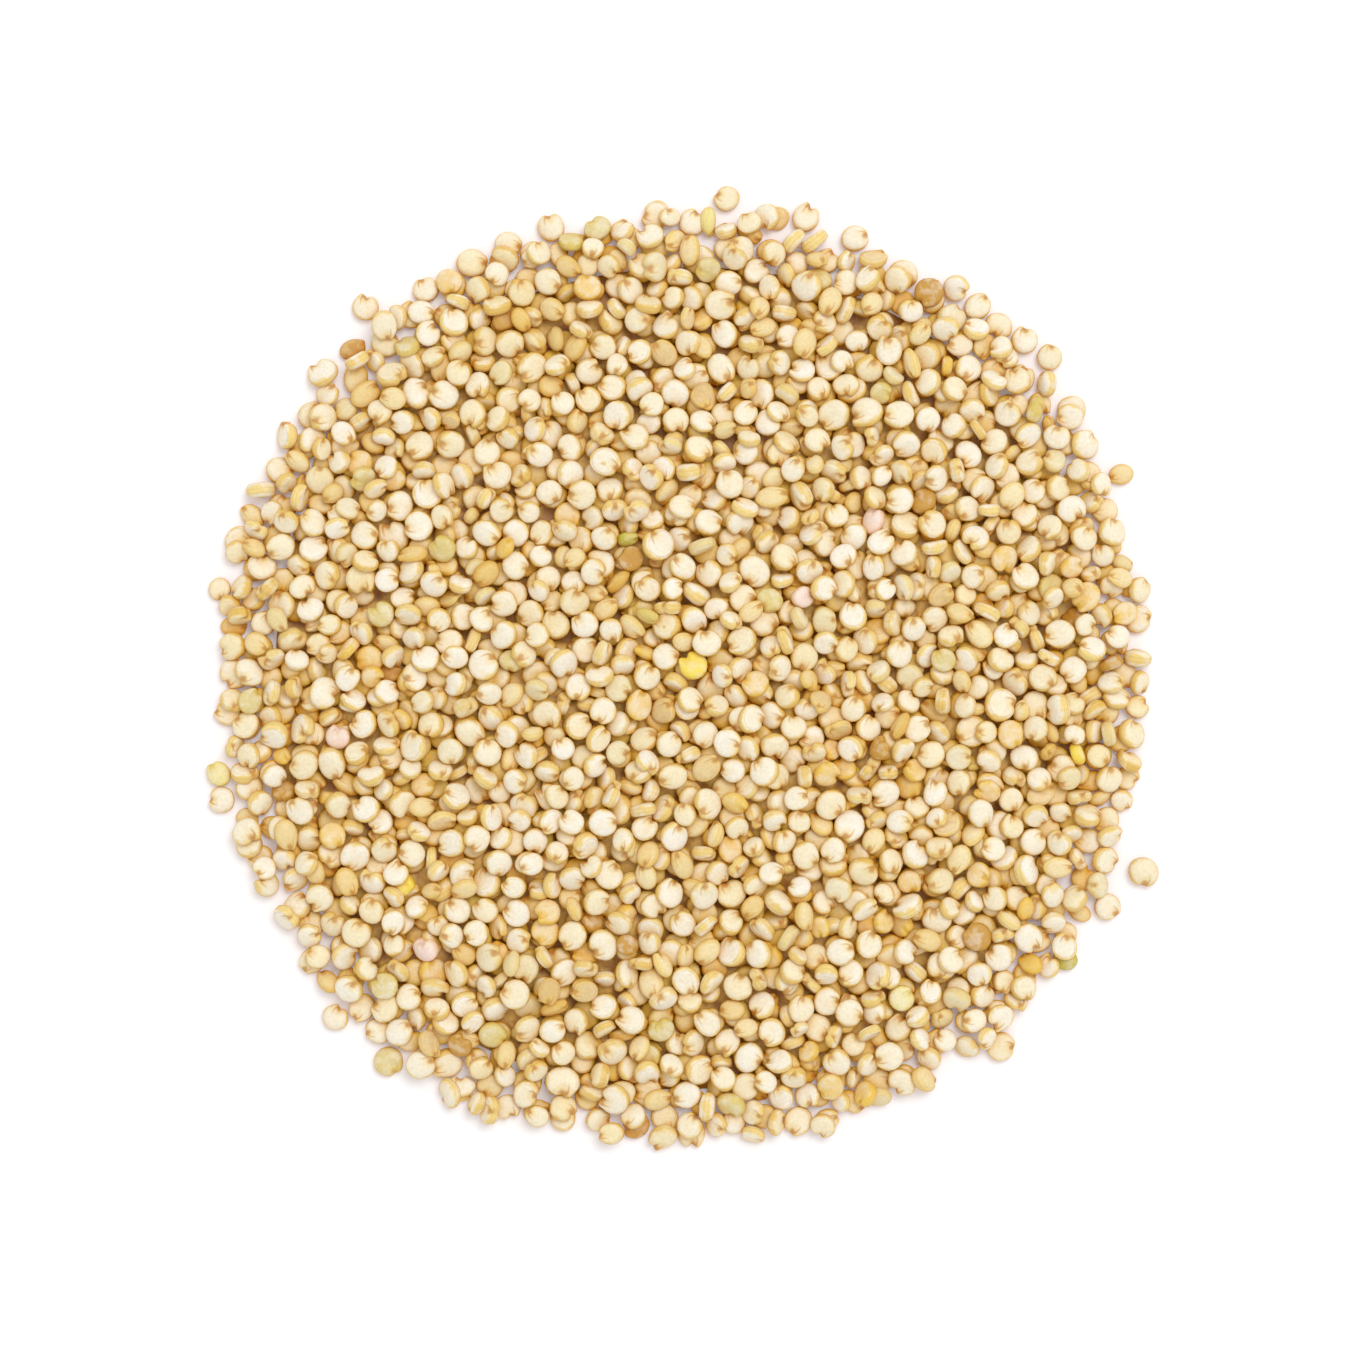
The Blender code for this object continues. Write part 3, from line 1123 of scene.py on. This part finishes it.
@dataclass(frozen=True)
class SeedCoat:
    """The dry seed coat of raw white quinoa: a floury cream face inside a waxy, honey-coloured rim.

    The grain was washed and dried, which leaves a satin skin with fine wrinkles. The starch below lets a
    little light through. Painted shade warms and darkens the coat where it lies deep in the heap, near the
    table and where it faces aside.

    Attributes:
        name: The material's name.
        face_pale: The face of a pale grain.
        face_deep: The face of a ripe grain.
        rim_pale: The rim of a pale grain.
        rim_deep: The rim of a ripe grain.
        blush: Warm patches on the face.
        germ: The germ's tip.
        line_and_brink_shade: The colour of the coat's lines, and of the painted shade where the coat turns
            down.
        glassy: A grain that is see-through and grey, not floury.
        shaded: The painted shade colour, which the coat is drawn towards where it lies deep, near the table
            and where it faces aside.
        rim_start: Where the rim starts, as a share of the radius.
        rim_full: Where the rim has its full colour.
        germ_place: Where the germ's brown is on a plain disc.
        germ_reach: How far it spreads, as a share of the radius.
        halo: How much of the rim's colour lies round the germ.
        halo_reach: How much farther than the brown that spreads.
        groove: How dark the ring line inside the rim is.
        groove_radius: Where that line runs, as a share of the radius.
        groove_width: How far it reaches to each side.
        hook: How dark the curled line is that runs from the germ into the face.
        hook_width: How far it reaches to each side.
        belt: How dark the two lines are that run round the rim.
        belt_height: How far from its middle they run, as a share of the half height.
        belt_width: How far they reach to each side.
        brink_shade: How dark the painted shade is where the coat turns down, away from up.
        side_shade: How strong the painted shade is, warm and dark, on the sides that face away from up.
        glass: How see-through the dullest grains are.
        patch: The width of the coat's patches.
        fleck: The width of its wrinkles and flecks.
        wrinkle: The depth of its wrinkles.
        wrinkling: How strongly they show.
        roughness: How rough the skin is.
        ior: How much the skin bends light.
    """

    name: str
    face_pale: str = "#F5ECD8"
    face_deep: str = "#F0DBA2"
    rim_pale: str = "#F0CF74"
    rim_deep: str = "#DDAC40"
    blush: str = "#F1CD92"
    germ: str = "#B87420"
    line_and_brink_shade: str = "#C07C1E"
    glassy: str = "#DCC684"
    shaded: str = "#FBD356"
    rim_start: float = 0.82
    rim_full: float = 1.0
    germ_place: tuple[float, float, float] = (0.78, 0.1, 0.0)
    germ_reach: float = 0.32
    halo: float = 0.65
    halo_reach: float = 2.2
    groove: float = 0.12
    groove_radius: float = 0.8
    groove_width: float = 0.07
    hook: float = 0.85
    hook_width: float = 0.13
    belt: float = 0.28
    belt_height: float = 0.26
    belt_width: float = 0.14
    brink_shade: float = 0.42
    side_shade: float = 0.5
    glass: float = 0.65
    patch: float = 0.9 * MM
    fleck: float = 0.25 * MM
    wrinkle: float = 0.05 * MM
    wrinkling: float = 0.5
    roughness: float = 0.55
    ior: float = 1.42

    def build(self) -> Material:
        """Builds the material from the grains' own attributes and the frame's coordinates.

        Returns:
            The material.
        """
        material, tree = new_material(self.name)
        add = partial(add_node, tree)
        disc = add("ShaderNodeAttribute", attribute_name="disc").outputs["Vector"]
        ripeness, dullness, buried = (
            add("ShaderNodeAttribute", attribute_name=name).outputs["Fac"]
            for name in ("ripeness", "dullness", "buried")
        )
        tint = add("ShaderNodeAttribute", attribute_name="tint").outputs
        where = add("ShaderNodeTexCoord").outputs["Object"]
        patches = add("ShaderNodeTexNoise", where, 1 / self.patch, 2.0)
        flecks = add("ShaderNodeTexNoise", where, 1 / self.fleck, 3.0)
        normal = add("ShaderNodeNewGeometry").outputs["Normal"]
        facing = add("ShaderNodeSeparateXYZ", normal).outputs["Z"]

        axes = add("ShaderNodeSeparateXYZ", disc).outputs
        flat = add("ShaderNodeCombineXYZ", axes["X"], axes["Y"])
        radius = add("ShaderNodeVectorMath", flat, operation="LENGTH")
        uneven = add(Step.SPREAD, patches, *CLOUDS, -0.08, 0.08)
        rim = add(Step.SPREAD, add(Step.ADD, radius, uneven), self.rim_start, self.rim_full, 0.0, 1.0)
        belt = self.line(tree, add(Step.ABSOLUTE, axes["Z"]), self.belt_height, self.belt_width, self.belt)
        groove = self.line(tree, radius, self.groove_radius, self.groove_width, self.groove)
        hook = self.hook_line(tree, axes, radius)
        # Painted shade where the coat turns down, away from up, in the line colour
        brink_shade = add(Step.SPREAD, facing, 0.0, 0.45, self.brink_shade, 0.0)
        to_germ = add("ShaderNodeVectorMath", flat, self.germ_place, operation="DISTANCE")
        germ = add(Step.SPREAD, add(Step.ADD, to_germ, uneven), 0.05, self.germ_reach, 1.0, 0.0)
        germ = add(Step.MULTIPLY, germ, add(Step.SPREAD, axes["Z"], -0.5, 0.1, 0.0, 1.0))
        germ = add(Step.MULTIPLY, germ, add(Step.SPREAD, patches, 0.35, 0.6, 0.8, 1.0))
        halo = add(Step.SPREAD, to_germ, 0.15, self.germ_reach * self.halo_reach, self.halo, 0.0)

        face = add(Step.MIX, ripeness, self.face_pale, self.face_deep)
        face = add(Step.MIX, add(Step.SPREAD, patches, 0.5, 0.72, 0.0, 0.35), face, self.blush)
        edge = add(Step.MIX, ripeness, self.rim_pale, self.rim_deep)
        stain = add(Step.MULTIPLY, tint["Alpha"], add(Step.SPREAD, patches, 0.35, 0.6, 0.65, 1.1))
        layers = (
            (rim, edge), (halo, edge), (groove, self.line_and_brink_shade), (belt, self.line_and_brink_shade), (hook, self.line_and_brink_shade),
            (brink_shade, self.line_and_brink_shade), (add(Step.MULTIPLY, dullness, self.glass), self.glassy), (germ, self.germ),
            (stain, tint["Color"]),
        )
        coat = face
        for share, colour in layers:
            coat = add(Step.MIX, share, coat, colour)
        # Painted shade: the coat is multiplied towards the shaded colour by depth in the heap, nearness to
        # the table and how far it faces aside
        side_shade = add(Step.SPREAD, facing, 0.0, 0.75, self.side_shade, 0.0)
        light = add(Step.MIX, add(Step.ADD, buried, side_shade), "#FFFFFF", self.shaded)
        coat = add("ShaderNodeVectorMath", coat, light, operation="MULTIPLY")
        bump = add("ShaderNodeBump", self.wrinkling, self.wrinkle, None, flecks)
        set_shader(tree, {
            "Base Color": add(Step.SCALE, coat, add(Step.SPREAD, flecks, *CLOUDS, 0.9, 1.03)),
            "Roughness": add(Step.SPREAD, flecks, *CLOUDS, self.roughness - 0.06, self.roughness + 0.1),
            "Normal": bump,
            "IOR": self.ior,
        })
        return material

    @staticmethod
    def line(
        tree: NodeTree, value: Node, place: Node | float, width: float, strength: float, core: float = 0.0
    ) -> Node:
        """A soft line where a value passes a place: at full strength as far as its core, then fading."""
        apart = add_node(tree, Step.ABSOLUTE, add_node(tree, Step.SUBTRACT, value, place))
        return add_node(tree, Step.SPREAD, apart, core, width, strength, 0.0)

    def hook_line(self, tree: NodeTree, axes: bpy.types.NodeOutputs, radius: Node) -> Node:
        """The curled line that runs from the germ's bite into the face.

        Args:
            tree: The material's tree.
            axes: Where each point lies on a plain disc.
            radius: How far it is from the disc's middle.

        Returns:
            How strong the line is.
        """
        add = partial(add_node, tree)
        angle = add("ShaderNodeMath", axes["Y"], axes["X"], operation="ARCTAN2")
        path = add(Step.SPREAD, angle, -0.1, 1.2, 0.95, 0.45)
        line = self.line(tree, radius, path, self.hook_width, self.hook, core=0.02)
        for value, *limits in (
            (angle, -0.15, 0.0, 0.0, 1.0), (angle, 0.4, 1.5, 1.0, 0.0), (axes["Z"], 0.0, 0.3, 0.0, 1.0)
        ):
            line = add(Step.MULTIPLY, line, add(Step.SPREAD, value, *limits))
        return line


SEED_COATS = {
    Kind.PLUMP: SeedCoat("seed_coat_plump", groove=0.04, hook=0.65),
    Kind.BROAD: SeedCoat("seed_coat_broad", groove=0.1),
    Kind.NOTCHED: SeedCoat("seed_coat_notched", germ_reach=0.36),
    Kind.RINGED: SeedCoat("seed_coat_ringed", groove=0.35, rim_start=0.8, rim_full=0.93),
    Kind.OVAL: SeedCoat(
        "seed_coat_oval", face_pale="#F1DCA4", face_deep="#E0B252", rim_deep="#D8A02C", rim_start=0.7
    ),
    Kind.CURLED: SeedCoat("seed_coat_curled", groove=0.25, germ_reach=0.42, hook=0.95),
    Kind.HUSKY: SeedCoat(
        "seed_coat_husky", face_pale="#EBCF96", face_deep="#D0A456", blush="#C08A40", groove=0.35,
        roughness=0.65,
    ),
}


@dataclass(frozen=True)
class PackedDepthShade:
    """The grains deep in the heap, which show only through the gaps: the same seed coats, in painted brown
    shade.

    Attributes:
        top: The painted shade colour on the top of a bump.
        valley: The darker painted shade in the valleys between the bumps.
        fleck: The width of the coat's flecks.
        roughness: How rough the coat is.
    """

    top: str = "#E8B048"
    valley: str = "#AC6C1E"
    fleck: float = 0.3 * MM
    roughness: float = 0.6

    def build(self) -> Material:
        """Builds the material, whose painted shade darkens from the top of each bump to the valleys round it.

        Returns:
            The material.
        """
        material, tree = new_material("packed_quinoa_depth")
        add = partial(add_node, tree)
        bump = add("ShaderNodeAttribute", attribute_name="bump").outputs["Fac"]
        where = add("ShaderNodeTexCoord").outputs["Object"]
        flecks = add("ShaderNodeTexNoise", where, 1 / self.fleck, 3.0)
        # Painted shade: brown, darker in the valleys between the bumps
        coat = add(Step.MIX, add(Step.SPREAD, bump, 0.2, 0.9, 0.0, 1.0), self.valley, self.top)
        coat = add(Step.SCALE, coat, add(Step.SPREAD, flecks, *CLOUDS, 0.8, 1.1))
        set_shader(tree, {"Base Color": coat, "Roughness": self.roughness})
        return material


class GrainScatter:
    """Sets a modelled grain in each place that was found, by one Geometry Nodes tree.

    Attributes:
        SUNLIT: How far below the heap's surface a coat still has its own colour, without painted shade.
        SHADED: How far below it the coat has its full painted shade colour.
        FOOT: How much warm painted shade the coat gets at the table.
        FOOT_HEIGHTS: Between which heights that painted shade fades.
    """

    SUNLIT = -0.3 * MM
    SHADED = 1.2 * MM
    FOOT = 0.45
    FOOT_HEIGHTS = (0.2 * MM, 1.3 * MM)

    def __init__(self) -> None:
        """Builds the tree, whose inputs are the grains' forms, their overall size and their finish."""
        self.tree = bpy.data.node_groups.new("scatter_grains", "GeometryNodeTree")
        add = partial(add_node, self.tree)
        face = self.tree.interface
        face.new_socket("Places", in_out="INPUT", socket_type="NodeSocketGeometry")
        inputs = (("Grain forms", "Collection"), ("Grain size", "Float"), ("Seed coat", "Material"))
        self.forms_id, self.size_id, self.finish_id = (
            face.new_socket(name, in_out="INPUT", socket_type=f"NodeSocket{kind}").identifier
            for name, kind in inputs
        )
        face.new_socket("Grains", in_out="OUTPUT", socket_type="NodeSocketGeometry")
        given = add("NodeGroupInput").outputs
        forms = add("GeometryNodeCollectionInfo", given["Grain forms"], True, True)
        turn, stretch, variant = (
            add("GeometryNodeInputNamedAttribute", name, data_type=kind)
            for name, kind in (("turn", "FLOAT_VECTOR"), ("stretch", "FLOAT_VECTOR"), ("variant", "INT"))
        )
        sized = add(Step.SCALE, stretch, given["Grain size"])
        placed = add("GeometryNodeInstanceOnPoints", given["Places"], None, forms, True, variant, turn, sized)
        real = add("GeometryNodeRealizeInstances", placed)
        add("NodeGroupOutput", add("GeometryNodeSetMaterial", real, None, given["Seed coat"]))

    @staticmethod
    def form_objects(kind: Kind, form: GrainForm, made: list[tuple[np.ndarray, np.ndarray]]) -> Collection:
        """Makes the forms of one kind as objects, for the tree to pick from.

        Args:
            kind: The kind of grain.
            form: Its form.
            made: The points of each variant, and where they lie on a plain disc.

        Returns:
            The collection that holds them.
        """
        group = bpy.data.collections.new(f"forms_of_{kind.value}")
        bpy.context.scene.collection.children.link(group)
        for number, (points, disc) in enumerate(made):
            mesh = bpy.data.meshes.new(f"{kind.value}_form_{number}")
            mesh.from_pydata(points.tolist(), [], form.faces())
            mesh.attributes.new("disc", "FLOAT_VECTOR", "POINT").data.foreach_set("vector", disc.ravel())
            mesh.shade_smooth()
            group.objects.link(bpy.data.objects.new(mesh.name, mesh))
        return group

    @staticmethod
    def place_mesh(grains: list[Grain]) -> Mesh:
        """Makes a mesh of bare points, one a grain, with what the tree and the seed coat need to know.

        Args:
            grains: The grains.

        Returns:
            The mesh.
        """
        mesh = bpy.data.meshes.new("places")
        mesh.from_pydata([tuple(grain.centre) for grain in grains], [], [])
        turns = np.array([grain.turn for grain in grains])
        angles = (
            np.arctan2(turns[:, 2, 1], turns[:, 2, 2]),
            -np.arcsin(turns[:, 2, 0].clip(-1, 1)),
            np.arctan2(turns[:, 1, 0], turns[:, 0, 0]),
        )
        stains = [(*to_linear(grain.tint.value[0])[:3], grain.tint.value[1]) for grain in grains]
        columns = (
            ("turn", "FLOAT_VECTOR", "vector", np.stack(angles, axis=1)),
            ("stretch", "FLOAT_VECTOR", "vector", np.array([grain.stretch for grain in grains])),
            ("variant", "INT", "value", np.array([grain.variant for grain in grains], np.int32)),
            ("ripeness", "FLOAT", "value", np.array([grain.ripeness for grain in grains])),
            ("dullness", "FLOAT", "value", np.array([grain.dullness for grain in grains])),
            ("tint", "FLOAT_COLOR", "color", np.array(stains)),
        )
        for name, kind, field, values in columns:
            mesh.attributes.new(name, kind, "POINT").data.foreach_set(field, values.ravel())
        return mesh

    def build(
        self, name: str, grains: list[Grain], forms: Collection, finish: Material, surface: Ground
    ) -> Object:
        """Makes one mesh of grains of one kind.

        Args:
            name: The piece's name.
            grains: The grains.
            forms: The forms that they pick from.
            finish: Their seed coat.
            surface: The smoothed surface of the whole heap.

        Returns:
            The piece, with its place in its mesh.
        """
        places = add_object(f"{name}_places", self.place_mesh(grains))
        modifier = places.modifiers.new("scatter", "NODES")
        modifier.node_group = self.tree
        modifier[self.forms_id] = forms
        modifier[self.size_id] = 1.0
        modifier[self.finish_id] = finish
        graph = bpy.context.evaluated_depsgraph_get()
        mesh = bpy.data.meshes.new_from_object(
            places.evaluated_get(graph), preserve_all_data_layers=True, depsgraph=graph
        )
        places.modifiers.remove(modifier)
        bpy.data.objects.remove(places)
        for spent in ("turn", "stretch", "variant"):
            if spent in mesh.attributes:
                mesh.attributes.remove(mesh.attributes[spent])
        # Painted shade for each point, from its depth below the smoothed surface and its nearness to the
        # table
        mesh.attributes.new("buried", "FLOAT", "POINT").data.foreach_set("value", self.buried(mesh, surface))
        mesh.name = name
        return add_object(name, mesh)

    def buried(self, mesh: Mesh, surface: Ground) -> np.ndarray:
        """How much painted shade each point of a mesh gets, from its depth below the heap's smoothed surface
        and its nearness to the table.

        Args:
            mesh: The mesh of the grains.
            surface: The smoothed surface of the whole heap.

        Returns:
            The share for each point, from 0 to 1.
        """
        corners = np.empty(3 * len(mesh.vertices), np.float32)
        mesh.vertices.foreach_get("co", corners)
        corners = corners.reshape(-1, 3)
        depth = surface.read(corners[:, 0], corners[:, 1]) - corners[:, 2]
        foot = self.FOOT * (1 - smooth_step(corners[:, 2], *self.FOOT_HEIGHTS))
        return (smooth_step(depth, self.SUNLIT, self.SHADED) + foot).clip(0, 1).astype(np.float32)


@dataclass(frozen=True)
class Studio:
    """A plain white light table in soft light, and a camera that looks straight down on it.

    Attributes:
        scale: The photograph's scale.
        lens: The camera's focal length.
        sensor: The width of its sensor.
        grain_level: The height at which the photograph's scale holds.
        key_place: Where the large soft lamp hangs.
        key_size: How wide it is.
        key_power: Its power in watts.
        sky: How bright the white room is.
        gamma: How much the photograph's development lifts the shadows.
        table: The table's colour.
        table_glow: How brightly the table is lit from below.
        table_roughness: How rough it is.
        table_radius: How far it reaches.
        table_sides: How many sides its round edge has.
    """

    scale: PhotoScale
    lens: float = 100.0
    sensor: float = 36.0
    grain_level: float = 1.0 * MM
    key_place: tuple[float, float, float] = (0.2, 0.28, 0.75)
    key_size: float = 0.45
    key_power: float = 3.15
    sky: float = 0.75
    gamma: float = 1.32
    table: str = "#FBFAFB"
    table_glow: float = 0.06
    table_roughness: float = 0.9
    table_radius: float = 1.5
    table_sides: int = 96

    def camera(self) -> None:
        """Hangs the camera over the place that the middle of the photograph shows."""
        width = self.scale.image_px * self.scale.metres_per_pixel()
        middle = self.scale.place((self.scale.image_px / 2, self.scale.image_px / 2))
        data = bpy.data.cameras.new("camera")
        data.lens = self.lens
        data.sensor_width = self.sensor
        data.clip_start = 0.01
        data.clip_end = 10.0
        camera = add_object("camera", data)
        camera.location = (middle[0], middle[1], self.grain_level + width * self.lens / self.sensor)
        bpy.context.scene.camera = camera

    def lights(self) -> None:
        """Hangs the soft lamp and lights the white room."""
        data = bpy.data.lights.new("key", "AREA")
        data.shape = "DISK"
        data.size = self.key_size
        data.energy = self.key_power
        lamp = add_object("key", data)
        lamp.location = self.key_place
        lamp.rotation_euler = (-Vector(self.key_place)).to_track_quat("-Z", "Y").to_euler()
        world = bpy.data.worlds.new("white_room")
        world.use_nodes = True
        world.node_tree.nodes["Background"].inputs["Color"].default_value = to_linear("#FFFFFF")
        world.node_tree.nodes["Background"].inputs["Strength"].default_value = self.sky
        bpy.context.scene.world = world
        bpy.context.scene.view_settings.view_transform = "Standard"
        bpy.context.scene.view_settings.gamma = self.gamma

    def floor(self) -> None:
        """Lays the white table below the heap."""
        around = [math.tau * step / self.table_sides for step in range(self.table_sides)]
        reach = self.table_radius
        rim = [(reach * math.cos(angle), reach * math.sin(angle), 0.0) for angle in around]
        mesh = bpy.data.meshes.new("table")
        mesh.from_pydata(rim, [], [tuple(range(self.table_sides))])
        material, tree = new_material("white_light_table")
        set_shader(tree, {
            "Base Color": self.table,
            "Emission Color": self.table,
            "Emission Strength": self.table_glow,
            "Roughness": self.table_roughness,
        })
        mesh.materials.append(material)
        add_object("table", mesh)


def dress(piece: Object, node: str) -> None:
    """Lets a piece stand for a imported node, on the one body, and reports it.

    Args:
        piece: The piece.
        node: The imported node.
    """
    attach(piece, "root")
    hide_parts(node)
    LOG.info("%s: %d faces, in the place of %s", piece.name, len(piece.data.polygons), node)


def build_heap(scale: PhotoScale) -> None:
    """Builds the mound and every grain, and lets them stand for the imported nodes.

    Args:
        scale: The photograph's scale.
    """
    rng = np.random.default_rng(SEED)
    shape = HeapShape(tuple(scale.heap_centre), scale.grain_diameter / 2)
    ground = Ground(GROUND_REACH, GROUND_STEP)
    heart = HeapCore(shape)
    roundness = heart.raise_ground(ground, heart.bump_middles(rng))
    dress(heart.build(ground, roundness, PackedDepthShade().build()), "quinoa_heap")
    layer = GrainLayer(shape, scale, ground, rng)
    loose = layer.lay_all()
    LOG.info("laid %d grains in the heap", len(layer.grains))
    # The smoothed surface sets how much painted shade each point of a grain gets
    surface = Ground(GROUND_REACH, GROUND_STEP)
    surface.heights = ground.smoothed(SURFACE_BLUR)
    scatter = GrainScatter()
    finishes = {kind: SEED_COATS[kind].build() for kind in Kind}
    groups = {kind: scatter.form_objects(kind, layer.forms[kind], layer.points[kind]) for kind in Kind}
    for kind in Kind:
        chosen = [grain for grain in layer.grains if grain.kind is kind]
        dress(scatter.build(kind.value, chosen, groups[kind], finishes[kind], surface), "quinoa_heap")
    for number, grain in enumerate(loose, 1):
        forms, finish = groups[grain.kind], finishes[grain.kind]
        piece = scatter.build(f"loose_grain_{number}", [grain], forms, finish, surface)
        dress(piece, f"stray_grain_{number}")
    for group in groups.values():
        for form in list(group.objects):
            bpy.data.objects.remove(form)
        bpy.data.collections.remove(group)


def main() -> None:
    """Builds the heap and the studio."""
    logging.basicConfig(level=logging.INFO, format="%(name)s: %(message)s")
    scale = PhotoScale()
    studio = Studio(scale)
    studio.camera()
    studio.lights()
    studio.floor()
    build_heap(scale)


if __name__ == "__main__":
    main()
